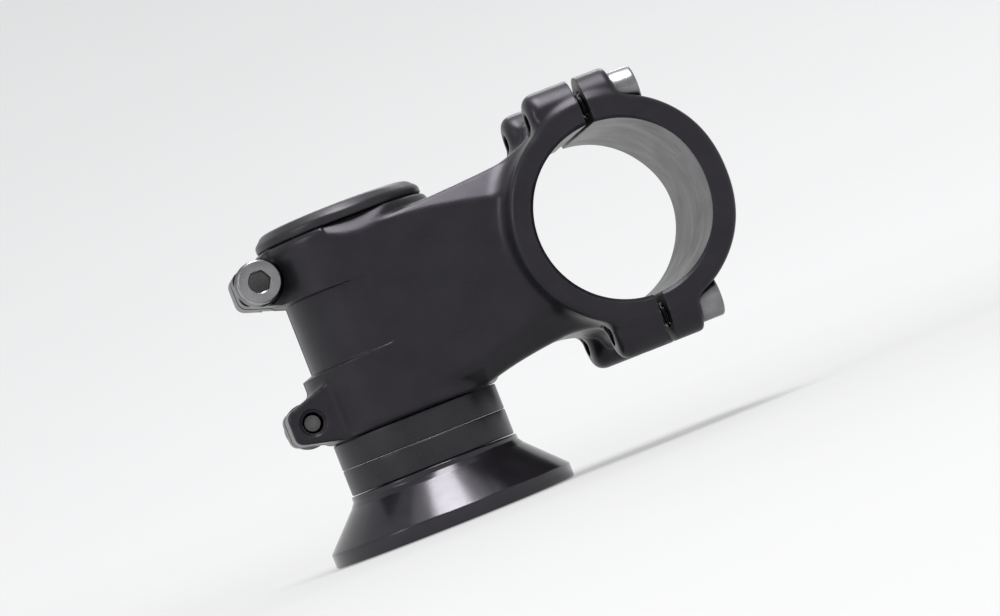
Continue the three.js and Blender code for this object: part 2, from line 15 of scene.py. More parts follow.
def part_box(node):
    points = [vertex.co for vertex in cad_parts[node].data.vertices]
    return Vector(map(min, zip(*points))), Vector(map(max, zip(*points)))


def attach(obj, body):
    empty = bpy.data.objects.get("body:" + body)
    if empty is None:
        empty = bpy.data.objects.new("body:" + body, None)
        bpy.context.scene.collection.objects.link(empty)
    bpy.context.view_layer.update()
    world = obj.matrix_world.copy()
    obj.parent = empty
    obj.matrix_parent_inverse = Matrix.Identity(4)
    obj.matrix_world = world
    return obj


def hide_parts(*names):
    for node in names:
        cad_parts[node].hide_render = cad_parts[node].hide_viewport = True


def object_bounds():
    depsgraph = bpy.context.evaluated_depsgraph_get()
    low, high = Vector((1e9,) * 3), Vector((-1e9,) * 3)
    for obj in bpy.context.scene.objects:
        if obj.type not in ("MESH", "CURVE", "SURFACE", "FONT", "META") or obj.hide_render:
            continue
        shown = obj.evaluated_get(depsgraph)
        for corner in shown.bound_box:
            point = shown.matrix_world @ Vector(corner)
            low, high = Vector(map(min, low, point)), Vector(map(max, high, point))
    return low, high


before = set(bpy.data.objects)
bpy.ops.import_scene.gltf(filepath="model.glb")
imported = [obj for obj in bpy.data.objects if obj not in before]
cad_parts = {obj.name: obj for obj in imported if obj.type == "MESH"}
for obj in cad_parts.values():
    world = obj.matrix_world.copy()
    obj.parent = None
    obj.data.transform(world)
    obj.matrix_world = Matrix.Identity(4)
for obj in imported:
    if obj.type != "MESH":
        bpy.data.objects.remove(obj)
CAD_BOX = [list(corner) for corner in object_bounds()]


# ------------------------------------------------------------------ places read from the frame, in mm
def box_mm(node):
    """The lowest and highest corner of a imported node."""
    low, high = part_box(node)
    return np.array(low) * 1000, np.array(high) * 1000


def centre_mm(node):
    """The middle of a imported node's box."""
    low, high = box_mm(node)
    return (low + high) / 2


CORNERS = ("upper_left", "upper_right", "lower_left", "lower_right")
LEVELS = (("upper", 1), ("lower", -1))

PINCH = {level: centre_mm(f"steerer_bolt_{level}") for level, _ in LEVELS}
FACE = {corner: centre_mm(f"faceplate_bolt_{corner}") for corner in CORNERS}
MID = (PINCH["upper"][2] + PINCH["lower"][2]) / 2  # middle of the steerer clamp
PINCH_X = PINCH["upper"][0]
PINCH_SPREAD = (PINCH["upper"][2] - PINCH["lower"][2]) / 2
HALF_SPLIT = 0.9  # half the gap between the stem and the faceplate
STEM_FRONT, BAR_HALF_WIDTH = box_mm("stem_body")[1][:2]
BAR_X = STEM_FRONT + HALF_SPLIT  # the handlebar's axis
BAR_Z = sum(FACE[c][2] for c in CORNERS) / 4
RISE = BAR_Z - MID
FACE_ACROSS = FACE["upper_left"][1]
FACE_SPREAD = (FACE["upper_left"][2] - FACE["lower_left"][2]) / 2
BAR_OUTER = box_mm("faceplate")[1][0] - BAR_X

# ------------------------------------------------------------------ other sizes of the solid model, in mm
CLAMP_HALF = 20.0  # half the steerer clamp's height
CLAMP_R = 18.0
CLAMP_BORE = 14.35
BAR_BORE = 17.55
HALF_SLOT = 0.8  # half the width of the slots in the clamp and in the compression ring
BORE_CHAMFER = 0.7
PINCH_SEAT = 7.0  # under a pinch bolt's washer, from the middle plane
TAPPED_END = 10.4  # the other end of a pinch bolt's hole
FACE_SEAT = 5.5  # under a faceplate bolt's washer, from the handlebar's axis
LUG_R = 5.6
LUG_BACK = 10.5  # rear end of a lug behind the handlebar's axis
FACE_HOLE_DEPTH = 17  # a faceplate bolt's hole goes right through its lug
PINCH_HOLE_DEPTH = 15  # a pinch bolt's hole goes right through its boss

# The extension's section: its half width, top and bottom at the steerer's axis, and their growth forwards.
ARM_HALF, ARM_WIDENING = 17.45, 4.6
ARM_TOP, ARM_TOP_STRAIGHT, ARM_TOP_CURVED = 17.4, 0.6, 3.4
ARM_BOTTOM = 15.5
HEEL_X, HEEL_DEPTH, HEEL_LENGTH = 17.8, 3.5, 14  # where it leaves the clamp it is deeper
LOWER_BEVEL, LOWER_BEVEL_GROWTH = 3.2, 4

# The upper bevel is a plane along each side of the clamp and the extension.
BEVEL_HALF = 27.9  # its half width carried down to the middle of the clamp
BEVEL_SLOPE = 0.6  # how much it narrows for each millimetre of height
BEVEL_TAPER = 0.05  # how much it narrows for each millimetre forwards
BEVEL_START = 5  # it begins here, behind the steerer's axis

M5 = {"shank": 2.45, "pitch": 0.8, "head_r": 4.25, "head_h": 5.0, "flats": 4.0, "depth": 2.6}
M6 = {"shank": 2.92, "pitch": 1.0, "head_r": 5.0, "head_h": 4.2, "flats": 5.0, "depth": 2.6}
M5_LENGTH = 16
M5_CLEARANCE = 2.8
M5_TAP = 2.5
WASHER = 1.42  # thickness: it fills the space between its seat and the head
WASHER_GAP = 1.46  # from the head to the washer's seat

FAR = 60  # past every piece, for the reach of a cutting tool


# ------------------------------------------------------------------ small mesh kit
class Shape:
    """Vertices (n x 3) and faces of a closed surface, in mm."""

    def __init__(self, verts, faces):
        self.verts = np.asarray(verts, float)
        self.faces = faces

    def moved(self, matrix):
        m = np.array(matrix)
        return Shape(self.verts @ m[:3, :3].T + m[:3, 3], self.faces)


def place(offset=(0, 0, 0), z_to=(0, 0, 1)):
    """A matrix that turns +Z towards z_to and then moves to offset."""
    turn = Vector((0, 0, 1)).rotation_difference(Vector(z_to)).to_matrix().to_4x4()
    return Matrix.Translation(Vector(offset)) @ turn


def new_object(name, shape, smooth_angle=32):
    """A mesh object in metres with smooth shading up to an angle."""
    mesh = bpy.data.meshes.new(name)
    mesh.from_pydata((shape.verts / 1000).tolist(), [], shape.faces)
    mesh.validate()
    obj = bpy.data.objects.new(name, mesh)
    bpy.context.scene.collection.objects.link(obj)
    shade(obj, smooth_angle)
    return obj


def shade(obj, angle):
    """Smooth shading, with an edge kept sharp where its faces meet at more than angle."""
    obj.data.shade_smooth()
    obj.data.set_sharp_from_angle(angle=math.radians(angle))


def apply_modifiers(obj):
    """Bakes an object's modifiers into its mesh."""
    graph = bpy.context.evaluated_depsgraph_get()
    made = bpy.data.meshes.new_from_object(obj.evaluated_get(graph))
    old = obj.data
    obj.modifiers.clear()
    obj.data = made
    made.name = obj.name
    bpy.data.meshes.remove(old)


def carve(obj, cutters, joined=(), smooth_angle=32):
    """Cuts shapes out of obj, after joining others to it."""
    tools = []
    for shapes, operation in ((joined, "UNION"), (cutters, "DIFFERENCE")):
        for shape in shapes:
            tool = new_object("cutting_tool", shape)
            modifier = obj.modifiers.new("cut", "BOOLEAN")
            modifier.operation = operation
            modifier.solver = "MANIFOLD"
            modifier.object = tool
            tools.append(tool)
    apply_modifiers(obj)
    for tool in tools:
        mesh = tool.data
        bpy.data.objects.remove(tool)
        bpy.data.meshes.remove(mesh)
    shade(obj, smooth_angle)
    return obj


def lathe(profile, segments=128):
    """Turns [radius, z] points about Z. The outline runs anticlockwise with radius to the right and z up, and
    starts and ends on the axis, or closes on itself when its last point repeats the first."""
    ring = profile[0] == profile[-1] and profile[0][0] > 0
    points = profile[:-1] if ring else profile
    verts, rows = [], []
    angles = np.arange(segments) * 2 * math.pi / segments
    for radius, z in points:
        if radius <= 1e-9:
            rows.append([len(verts)] * segments)
            verts.append((0, 0, z))
        else:
            rows.append(list(range(len(verts), len(verts) + segments)))
            verts += [(radius * math.cos(a), radius * math.sin(a), z) for a in angles]
    faces = []
    pairs = list(zip(rows, rows[1:] + rows[:1])) if ring else list(zip(rows, rows[1:]))
    for low, high in pairs:
        for i in range(segments):
            j = (i + 1) % segments
            corners = [low[i], low[j], high[j], high[i]]
            unique = list(dict.fromkeys(corners))
            if len(unique) > 2:
                faces.append(unique)
    return Shape(verts, faces)


def sector(outline, start, end, segments=72):
    """Turns a closed anticlockwise outline of [radius, z] points about Z from one angle to another."""
    n = len(outline)
    turns = np.radians(np.linspace(start, end, segments + 1))
    verts = [(r * math.cos(t), r * math.sin(t), z) for t in turns for r, z in outline]
    faces = [list(range(n)), list(range(segments * n, (segments + 1) * n))[::-1]]
    for i in range(segments):
        for k in range(n):
            here, after = i * n + k, i * n + (k + 1) % n
            faces.append([here, here + n, after + n, after])
    return Shape(verts, faces)


def rod(radius, low, high, segments=64):
    """A plain round rod along Z."""
    return lathe([[0, low], [radius, low], [radius, high], [0, high]], segments)


def block(low, high):
    """A box between two corners."""
    x0, y0, z0 = low
    x1, y1, z1 = high
    verts = [(x, y, z) for z in (z0, z1) for x, y in ((x0, y0), (x1, y0), (x1, y1), (x0, y1))]
    faces = [[3, 2, 1, 0], [4, 5, 6, 7], [0, 1, 5, 4], [1, 2, 6, 5], [2, 3, 7, 6], [3, 0, 4, 7]]
    return Shape(verts, faces)


def prism(outline, low, high):
    """An anticlockwise outline of (x, y) points raised along Z."""
    n = len(outline)
    verts = [(x, y, low) for x, y in outline] + [(x, y, high) for x, y in outline]
    faces = [list(range(n))[::-1], list(range(n, 2 * n))]
    faces += [[i, (i + 1) % n, n + (i + 1) % n, n + i] for i in range(n)]
    return Shape(verts, faces)


def arc(centre, radius, start, end, steps):
    """Points on an arc in the plane, angles in degrees."""
    turns = np.radians(np.linspace(start, end, steps))
    return [[centre[0] + radius * math.cos(t), centre[1] + radius * math.sin(t)] for t in turns]


def rounded(outline, radius, steps=4):
    """A closed outline of [r, z] corners with each corner rounded, by one radius or by one per corner."""
    n = len(outline)
    radii = [radius] * n if isinstance(radius, (int, float)) else radius
    points = []
    for i, corner in enumerate(outline):
        here = np.array(corner, float)
        before, after = np.array(outline[i - 1], float), np.array(outline[(i + 1) % n], float)
        a, b = before - here, after - here
        la, lb = np.linalg.norm(a), np.linalg.norm(b)
        a, b = a / la, b / lb
        half = math.acos(np.clip(a @ b, -1, 1)) / 2
        reach = min(radii[i] / math.tan(half), 0.45 * la, 0.45 * lb) if half > 0.01 else 0
        if reach < 1e-4:
            points.append(list(corner))
            continue
        for k in range(steps + 1):
            t = k / steps
            p = (1 - t) ** 2 * (here + a * reach) + 2 * t * (1 - t) * here + t**2 * (here + b * reach)
            points.append([float(p[0]), float(p[1])])
    return points


def turned_ring(corners, radius=0.3, segments=144, steps=4):
    """A turned ring from its corners, with rounded edges."""
    outline = rounded(corners, radius, steps)
    return lathe(outline + [outline[0]], segments)


# ------------------------------------------------------------------ forged shapes from fields
# A field is negative inside its shape, and about the distance in mm from its surface. The last number that
# smooth_max and smooth_min are given is how far, in mm, the crease between the two shapes is rounded.
def smooth_max(a, b, radius):
    """What two shapes have in common."""
    h = np.maximum(radius - np.abs(a - b), 0.0)
    return np.maximum(a, b) + h * h / (4 * radius)


def smooth_min(a, b, radius):
    """Two shapes joined."""
    return -smooth_max(-a, -b, radius)


def isosurface(field, low, high, step):
    """The closed surface where field(x, y, z) = 0, as quads whose corners are drawn onto it."""
    xs, ys, zs = (np.arange(lo, hi + step, step) for lo, hi in zip(low, high))
    f = field(xs[:, None, None], ys[None, :, None], zs[None, None, :])
    inside = f < 0
    shape = tuple(n - 1 for n in f.shape)
    total, count = np.zeros(shape + (3,)), np.zeros(shape)

    def corner(offset):
        return f[tuple(slice(o, o + n) for o, n in zip(offset, shape))]

    for axis in range(3):
        u, v = (axis + 1) % 3, (axis + 2) % 3
        for ou in (0, 1):
            for ov in (0, 1):
                start = [0, 0, 0]
                start[u], start[v] = ou, ov
                end = list(start)
                end[axis] = 1
                a, b = corner(start), corner(end)
                crossing = (a < 0) != (b < 0)
                t = np.where(crossing, a / np.where(crossing, a - b, 1), 0)
                total[..., axis] += t
                total[..., u] += ou * crossing
                total[..., v] += ov * crossing
                count += crossing
    active = count > 0
    index = np.full(shape, -1)
    index[active] = np.arange(active.sum())
    cells = np.argwhere(active)
    origin = np.array([xs[0], ys[0], zs[0]])
    points = (cells + total[active] / count[active][:, None]) * step + origin

    faces = []
    for axis in range(3):
        u, v = (axis + 1) % 3, (axis + 2) % 3
        head = [slice(None)] * 3
        tail = [slice(None)] * 3
        head[axis], tail[axis] = slice(0, -1), slice(1, None)
        first, second = inside[tuple(head)], inside[tuple(tail)]
        edges = np.argwhere(first != second)
        keep = (edges[:, u] > 0) & (edges[:, v] > 0) & (edges[:, u] < shape[u]) & (edges[:, v] < shape[v])
        edges = edges[keep]
        outwards = first[tuple(edges.T)]
        quad = []
        for du, dv in ((-1, -1), (0, -1), (0, 0), (-1, 0)):
            cell = edges.copy()
            cell[:, u] += du
            cell[:, v] += dv
            quad.append(index[tuple(cell.T)])
        quad = np.stack(quad, 1)
        quad[~outwards] = quad[~outwards][:, ::-1]
        faces.append(quad)

    reach, gentlest, longest = 0.05, 0.2, 0.4 * step  # to measure a slope, and to move a point along it
    for _ in range(4):
        x, y, z = points.T
        value = field(x, y, z)
        slope = np.stack(
            [
                field(x + reach, y, z) - field(x - reach, y, z),
                field(x, y + reach, z) - field(x, y - reach, z),
                field(x, y, z + reach) - field(x, y, z - reach),
            ],
            1,
        ) / (2 * reach)
        steepness = np.maximum((slope**2).sum(1), gentlest)
        shift = -(value / steepness)[:, None] * slope
        points = points + np.clip(shift, -longest, longest)
    return Shape(points, np.concatenate(faces).tolist())


def lug_field(y, z):
    """Four round lugs for the faceplate's bolts, and the lip that joins each pair, without an end along X."""
    across, up = np.abs(y), np.abs(z - RISE)
    round_lug = np.hypot(across - FACE_ACROSS, up - FACE_SPREAD) - LUG_R
    over = 2.2  # how far the lip rises past the bolts' axes
    lip = smooth_max(up - (FACE_SPREAD + over), across - FACE_ACROSS, 1.0)
    return round_lug, lip


def arm_field(x, y, z):
    """The extension between the two clamps, without its upper bevel."""
    across = np.abs(y)
    t = np.clip(x / BAR_X, 0, 1)
    half = ARM_HALF + ARM_WIDENING * t**2.4
    top = ARM_TOP + ARM_TOP_STRAIGHT * t + ARM_TOP_CURVED * t * t
    bottom = np.minimum(ARM_BOTTOM + HEEL_DEPTH * np.exp((HEEL_X - x) / HEEL_LENGTH), CLAMP_HALF)
    lower_bevel = (across - z - (half + bottom - LOWER_BEVEL - LOWER_BEVEL_GROWTH * t)) / math.sqrt(2)
    arm = smooth_max(across - half, z - top, 0.9)
    arm = smooth_max(arm, -z - bottom, 0.9)
    arm = smooth_max(arm, lower_bevel, 1.2)
    return np.maximum(arm, np.maximum(1 - x, x - BAR_X + 4))


def boss_field(x, y, z):
    """The two wedges behind the clamp that the pinch bolts go through, mirrored about the middle."""
    back, tip = PINCH_X - 4.5, 3.4  # the rear face, and half the height just in front of it
    widen_out, widen_in = 0.235, 0.325  # how fast a wedge grows forwards, away from the middle and towards it
    outward = np.abs(z) - PINCH_SPREAD
    run = x - (back + 1)
    wedge = smooth_max(outward - tip - widen_out * run, -outward - tip - widen_in * run, 1.0)
    wedge = smooth_max(wedge, back - x, 1.6)
    side = y * np.where(z > 0, 1.0, -1.0)
    wedge = smooth_max(wedge, np.maximum(side - TAPPED_END, -side - PINCH_SEAT - 0.5), 0.8)
    return np.maximum(wedge, x + 9)


def stem_field(x, y, z):
    """The stem's forging: negative inside. z is measured from the middle of the steerer clamp."""
    across = np.abs(y)
    barrel = smooth_max(np.hypot(x, y) - CLAMP_R, np.abs(z) - CLAMP_HALF, 1.6)
    body = smooth_min(barrel, arm_field(x, y, z), 1.0)
    bevel = (across + BEVEL_SLOPE * z - (BEVEL_HALF - BEVEL_TAPER * x)) / math.hypot(1, BEVEL_SLOPE)
    body = smooth_max(body, np.minimum(bevel, x + BEVEL_START), 0.6)

    drum = smooth_max(np.hypot(x - BAR_X, z - RISE) - BAR_OUTER, across - BAR_HALF_WIDTH, 1.8)
    body = smooth_min(body, drum, 4.0)
    round_lug, lip = lug_field(y, z)
    body = smooth_min(body, smooth_max(lip, BAR_X - LUG_BACK + 2.5 - x, 2.0), 2.2)
    body = smooth_min(body, smooth_max(round_lug, BAR_X - LUG_BACK - x, 3.0), 1.8)
    return smooth_min(body, boss_field(x, y, z), 1.1)


def panel_field(across, up):
    """A rectangle with round corners, sunk into the front of the faceplate."""
    half_y, half_z, corner = 11.5, 9.5, 4.0
    qy, qz = across - (half_y - corner), np.abs(up) - (half_z - corner)
    return np.hypot(np.maximum(qy, 0), np.maximum(qz, 0)) + np.minimum(np.maximum(qy, qz), 0) - corner


def faceplate_field(x, y, z):
    """The faceplate's blank, from the split forwards. z is measured from the middle of the steerer clamp."""
    across, forward, up = np.abs(y), x - BAR_X, z - RISE
    radius = np.hypot(forward, up)
    waist_depth, waist_height, waist_length = 2.4, 9.5, 12
    waist = waist_depth * np.exp(-((up / waist_height) ** 2)) * np.clip(forward / waist_length, 0, 1)
    drum = smooth_max(radius - BAR_OUTER, across - BAR_HALF_WIDTH + waist, 1.8)
    round_lug, lip = lug_field(y, z)
    body = smooth_min(drum, smooth_max(lip, forward - FACE_SEAT + 0.6, 1.6), 2.2)
    body = smooth_min(body, smooth_max(round_lug, forward - FACE_SEAT - 1.6, 1.1), 1.8)
    panel_depth = 1.1
    sunk = np.maximum(panel_field(across, up), BAR_OUTER - panel_depth - radius)
    body = smooth_max(body, -sunk, 0.5)
    return np.maximum(body, -3 - forward)


# ------------------------------------------------------------------ screws
def thread(root, crest, pitch, low, high, segments=48):
    """A rod along Z with a true helical thread that fades out at both ends."""
    heights = [0.0, 0.06, 1.0, 1.0]  # the profile over one pitch, from the root to the crest
    offsets = [0.0, 0.14, 0.46, 0.62]  # where in the pitch each height comes
    turns = int(math.ceil((high - low) / pitch)) + 2
    rows = 4 * turns
    fade = 0.7 * pitch
    verts = np.zeros((segments, rows, 3))
    for i in range(segments):
        angle = 2 * math.pi * i / segments
        for k in range(rows):
            z = low - pitch + pitch * (k // 4 + offsets[k % 4] + i / segments)
            inside = min(max(min(z - low, high - z) / fade, 0), 1)
            radius = root + (crest - root) * heights[k % 4] * inside
            z = min(max(z, low), high)
            verts[i, k] = (radius * math.cos(angle), radius * math.sin(angle), z)
    flat = verts.reshape(-1, 3)
    tied, keys = np.zeros(len(flat), int), {}
    kept = []
    for n, p in enumerate(np.round(flat, 5)):
        key = tuple(p)
        if key not in keys:
            keys[key] = len(kept)
            kept.append(flat[n])
        tied[n] = keys[key]
    faces = []

    def at(i, k):
        return int(tied[i * rows + k])

    for i in range(segments):
        last = i == segments - 1
        for k in range(rows - 1):
            j, kj = (0, k + 4) if last else (i + 1, k)
            kj1 = min(kj + 1, rows - 1)
            kj = min(kj, rows - 1)
            loop = list(dict.fromkeys([at(i, k), at(j, kj), at(j, kj1), at(i, k + 1)]))
            if len(loop) > 2:
                faces.append(loop)
    bottom = [at(i, 0) for i in range(segments)]
    upper = [at(i, rows - 1) for i in range(segments)]
    faces += [bottom[::-1], upper]
    return Shape(kept, faces)


def hexagon(flats, low, high):
    """A hexagonal prism along Z across its flats."""
    radius = flats / math.sqrt(3)
    turns = np.radians(range(0, 360, 60))
    return prism([(radius * math.cos(a), radius * math.sin(a)) for a in turns], low, high)


def cap_screw(name, length, shank, pitch, head_r, head_h, flats, depth):
    """A socket head cap screw along Z, its head above z = 0, with a real thread and a broached socket."""
    root = shank - 0.61 * pitch
    plain = 1.2  # unthreaded length under the head
    fillet = 0.4  # under the head
    edge = 0.45  # round the head
    crown = 0.075  # how far the top rises above the rounded edge
    profile = [[0, -plain - 1.0], [root, -plain - 1.0], [root, -plain - 0.7]]
    profile += [[shank, -plain], [shank, -fillet]]
    profile += arc((shank + fillet, -fillet), fillet, 180, 90, 5)[1:]
    profile += [[head_r - edge, 0], [head_r - 0.12, 0.12], [head_r, edge]]
    profile += [[head_r, head_h - edge - 0.35]]
    profile += arc((head_r - edge, head_h - edge - crown), edge, 0, 80, 6)
    profile += [[head_r * 0.72, head_h - 0.02], [0, head_h]]
    screw = new_object(name, lathe(profile, 96))

    tip = lathe([[0, -length], [root - 0.35, -length], [root, -length + 0.45], [root, -length + 1.2],
                 [0, -length + 1.2]], 48)
    worm = thread(root, shank, pitch, -length + 0.35, -plain - 0.75)
    socket = hexagon(flats, head_h - depth, head_h + 1)
    floor, drill = head_h - depth, flats / 2 - 0.12
    drilled = lathe([[0, floor - 0.75], [drill, floor + 0.02], [drill, floor + 0.3], [0, floor + 0.3]], 48)
    corner = flats / math.sqrt(3)
    mouth = lathe([[0, head_h - 0.3], [flats / 2, head_h - 0.3], [corner + 0.02, head_h],
                   [corner + 0.7, head_h + 0.66], [0, head_h + 0.66]], 96)
    return carve(screw, [socket, drilled, mouth], joined=[worm, tip], smooth_angle=28)


def copy_to(source, name, matrix):
    """A copy of a piece with its own mesh, moved by a matrix in mm."""
    obj = bpy.data.objects.new(name, source.data.copy())
    scaled = Matrix(matrix)
    scaled.translation = scaled.translation / 1000
    obj.data.transform(scaled)
    bpy.context.scene.collection.objects.link(obj)
    return obj


def thread_cutter(shank, pitch, low, high):
    """What a tap leaves: a threaded hole from z = low to z = high."""
    return thread(shank - 0.5 * pitch, shank + 0.12, pitch, low, high, 40)


def countersink(radius, z):
    """The cone and the clear space over it that open a threaded hole's mouth at height z."""
    slack = 0.35  # from the hole's radius to each end of the cone
    return lathe([[0, z - 0.55], [radius - slack, z - 0.55], [radius + slack, z + 0.15],
                  [radius + slack, z + 1], [0, z + 1]], 48)


# ------------------------------------------------------------------ materials
class Nodes:
    """Short hand for a material's node tree."""

    def __init__(self, name):
        self.material = bpy.data.materials.new(name)
        self.material.use_nodes = True
        self.tree = self.material.node_tree
        self.shader = self.tree.nodes["Principled BSDF"]

    def add(self, kind, inputs=None, **settings):
        """A node with its settings, and with its inputs set to values or linked to other nodes' outputs."""
        node = self.tree.nodes.new(kind)
        for key, value in settings.items():
            setattr(node, key, value)
        for key, value in (inputs or {}).items():
            if isinstance(value, bpy.types.NodeSocket):
                self.tree.links.new(value, node.inputs[key])
            else:
                node.inputs[key].default_value = value
        return node

    def link(self, output, socket):
        self.tree.links.new(output, self.shader.inputs[socket])

    def noise(self, vector, scale, detail=3.0, rough=0.55):
        """Smooth noise with scale features in a millimetre."""
        node = self.add("ShaderNodeTexNoise", {"Vector": vector, "Scale": scale, "Detail": detail,
                                               "Roughness": rough})
        return node.outputs["Fac"]

    def spread(self, value, low, high, to_low, to_high):
        """The range from low to high stretched over another, and held at its ends."""
        node = self.add("ShaderNodeMapRange", {"Value": value, "From Min": low, "From Max": high,
                                               "To Min": to_low, "To Max": to_high})
        return node.outputs["Result"]

    def math(self, operation, a, b=0.0):
        node = self.add("ShaderNodeMath", operation=operation)
        for i, value in enumerate((a, b)):
            if isinstance(value, bpy.types.NodeSocket):
                self.tree.links.new(value, node.inputs[i])
            else:
                node.inputs[i].default_value = value
        return node.outputs[0]

    def mix(self, factor, a, b):
        node = self.add("ShaderNodeMix", data_type="RGBA")
        for socket, value in ((node.inputs[0], factor), (node.inputs[6], a), (node.inputs[7], b)):
            if isinstance(value, bpy.types.NodeSocket):
                self.tree.links.new(value, socket)
            else:
                socket.default_value = value
        return node.outputs[2]

    def position(self):
        """The object's own coordinates in mm."""
        coordinates = self.add("ShaderNodeTexCoord").outputs["Object"]
        return self.add("ShaderNodeVectorMath", {0: coordinates, 3: 1000.0}, operation="SCALE").outputs[0]


def grey(value, tint=(1, 1, 1)):
    """A grey colour with a slight tint."""
    return (value * tint[0], value * tint[1], value * tint[2], 1)


def rubbed_edges(n, at, wear, radius):
    """Where edges are rubbed bare, from 0 to wear, and the rounded normal that shows them."""
    bevel = n.add("ShaderNodeBevel", {"Radius": radius / 1000}, samples=6).outputs[0]
    geometry = n.add("ShaderNodeNewGeometry").outputs["Normal"]
    facing = n.add("ShaderNodeVectorMath", {0: bevel, 1: geometry}, operation="DOT_PRODUCT").outputs["Value"]
    edge = n.spread(facing, 0.995, 0.86, 0.0, 1.0)
    scuff = n.spread(n.noise(at, 1.7, 5.0, 0.7), 0.42, 0.66, 0.0, 1.0)
    return n.math("MULTIPLY", n.math("MULTIPLY", edge, scuff), wear), bevel


def painted_recess_shade(n, tone, painted_shade_left):
    """The tone with painted shade deep in recesses, where ambient occlusion finds them; the last argument is
    the share of the tone that is left there.
    """
    # painted shade: the tone is darkened wherever ambient occlusion finds a recess
    hidden = n.add("ShaderNodeAmbientOcclusion", {"Distance": 0.004}, samples=6).outputs["AO"]
    shaded_tone = n.mix(1.0, tone, grey(painted_shade_left))
    shaded_tone.node.blend_type = "MULTIPLY"
    return n.mix(n.spread(hidden, 0.35, 0.8, 0.0, 1.0), shaded_tone, tone)


def turning_marks(n, at, depth, normal):
    """Rings left by a lathe about Z, on top of another bump."""
    apart = n.add("ShaderNodeSeparateXYZ", {0: at}).outputs
    squares = [n.math("POWER", apart[axis], 2.0) for axis in (0, 1)]
    across = n.math("SQRT", n.math("ADD", *squares))
    rings = n.add("ShaderNodeCombineXYZ", {0: across, 1: apart[2]}).outputs[0]
    return n.add("ShaderNodeBump", {"Height": n.noise(rings, 6.0, 2.0, 0.5), "Distance": depth / 1000,
                                    "Strength": 1.0, "Normal": normal}).outputs[0]


def finish_material(name, dark, light, metallic, rough, grain, grain_depth, wear=0.0, wear_color=None,
                    wear_radius=0.35, coat=0.0, specular=0.5, turning=0.0, painted_shade_left=1.0, tint=(1, 1, 1)):
    """A metal or plastic finish: blotches of tone, uneven gloss, fine grain, rubbed edges and turning marks.

    dark and light are the colours it varies between, and rough is (low, high). In mm, grain is the size of
    its bumps and grain_depth their height, and turning is the height of rings left by a lathe about Z.
    painted_shade_left is the share of the tone left deep in recesses, where shade is painted into the colour.
    """
    n = Nodes(name)
    at = n.position()
    blotch = n.noise(at, 0.16, 4.0)
    fine = n.noise(at, 1.0 / grain, 2.0, 0.6)
    tone = n.mix(n.spread(blotch, 0.3, 0.7, 0.0, 1.0), dark, light)
    uneven = n.math("ADD", n.math("MULTIPLY", blotch, 0.6), n.math("MULTIPLY", fine, 0.4))
    gloss = n.spread(uneven, 0.35, 0.65, *rough)
    stretched = n.add("ShaderNodeVectorMath", {0: at, 1: (0.35, 0.9, 0.5)}, operation="MULTIPLY").outputs[0]
    smudge = n.spread(n.noise(stretched, 0.35, 2.0, 0.5), 0.5, 0.75, 0.0, 0.04)
    gloss = n.math("ADD", gloss, smudge)

    bump_inputs = {"Height": fine, "Distance": grain_depth / 1000, "Strength": 1.0}
    if wear:
        rubbed, bump_inputs["Normal"] = rubbed_edges(n, at, wear, wear_radius)
        tone = n.mix(rubbed, tone, wear_color)
    # painted shade: the tone is darkened deep in recesses
    if painted_shade_left < 1:
        tone = painted_recess_shade(n, tone, painted_shade_left)
    normal = n.add("ShaderNodeBump", bump_inputs).outputs[0]
    if turning:
        normal = turning_marks(n, at, turning, normal)

    n.link(tone, "Base Color")
    n.link(gloss, "Roughness")
    n.link(normal, "Normal")
    settings = {"Metallic": metallic, "Specular IOR Level": specular, "Specular Tint": (*tint, 1),
                "Coat Weight": coat, "Coat Roughness": 0.16}
    for socket, value in settings.items():
        n.shader.inputs[socket].default_value = value
    return n.material


MATERIALS = {
    "stem": finish_material(
        "blasted_black", dark=grey(0.009, (1, 0.94, 1.06)), light=grey(0.014, (1, 0.95, 1.07)), metallic=0.0,
        rough=(0.26, 0.37), grain=0.22, grain_depth=0.007, wear=0.5, wear_color=grey(0.14), specular=0.32,
        tint=(0.93, 0.86, 1.0),
    ),
    "gloss": finish_material(
        "polished_black", dark=grey(0.007, (1, 0.9, 1.1)), light=grey(0.012, (1, 0.92, 1.08)), metallic=0.0,
        rough=(0.15, 0.24), grain=0.5, grain_depth=0.001, wear=0.35, wear_color=grey(0.16), coat=0.25,
        specular=0.4, turning=0.001, tint=(0.92, 0.87, 1.0),
    ),
    "turned": finish_material(
        "turned_black", dark=grey(0.014, (1, 0.97, 1.04)), light=grey(0.022, (1, 0.97, 1.05)), metallic=0.1,
        rough=(0.26, 0.38), grain=0.2, grain_depth=0.0012, wear=0.6, wear_color=grey(0.2), specular=0.35,
        turning=0.003, tint=(0.95, 0.89, 1.0),
    ),
    "bolt": finish_material(
        "dark_nickel", dark=grey(0.2, (1, 0.985, 1.01)), light=grey(0.3, (1, 0.985, 1.01)), metallic=1.0,
        rough=(0.2, 0.32), grain=0.12, grain_depth=0.002, wear=0.9, wear_color=grey(0.5), wear_radius=0.2,
        # painted shade darkens the screws' sockets and thread roots
        painted_shade_left=0.2,
    ),
    "bare": finish_material(
        "machined_aluminium", dark=grey(0.58), light=grey(0.68), metallic=1.0, rough=(0.24, 0.36), grain=0.2,
        grain_depth=0.002, turning=0.006,
    ),
    "zinc": finish_material(
        "zinc_plate", dark=grey(0.5, (1, 1, 1.03)), light=grey(0.62, (1, 1.01, 1.05)), metallic=1.0,
        rough=(0.22, 0.36), grain=0.3, grain_depth=0.003,
    ),
    "spring": finish_material(
        "spring_steel", dark=grey(0.3, (1, 1, 1.03)), light=grey(0.42, (1, 1, 1.05)), metallic=1.0,
        rough=(0.26, 0.4), grain=0.25, grain_depth=0.003, wear=0.5, wear_color=grey(0.6),
    ),
    "rubber": finish_material(
        "seal_rubber", dark=grey(0.012), light=grey(0.02), metallic=0.0, rough=(0.62, 0.8), grain=0.3,
        grain_depth=0.01, specular=0.35,
    ),
}


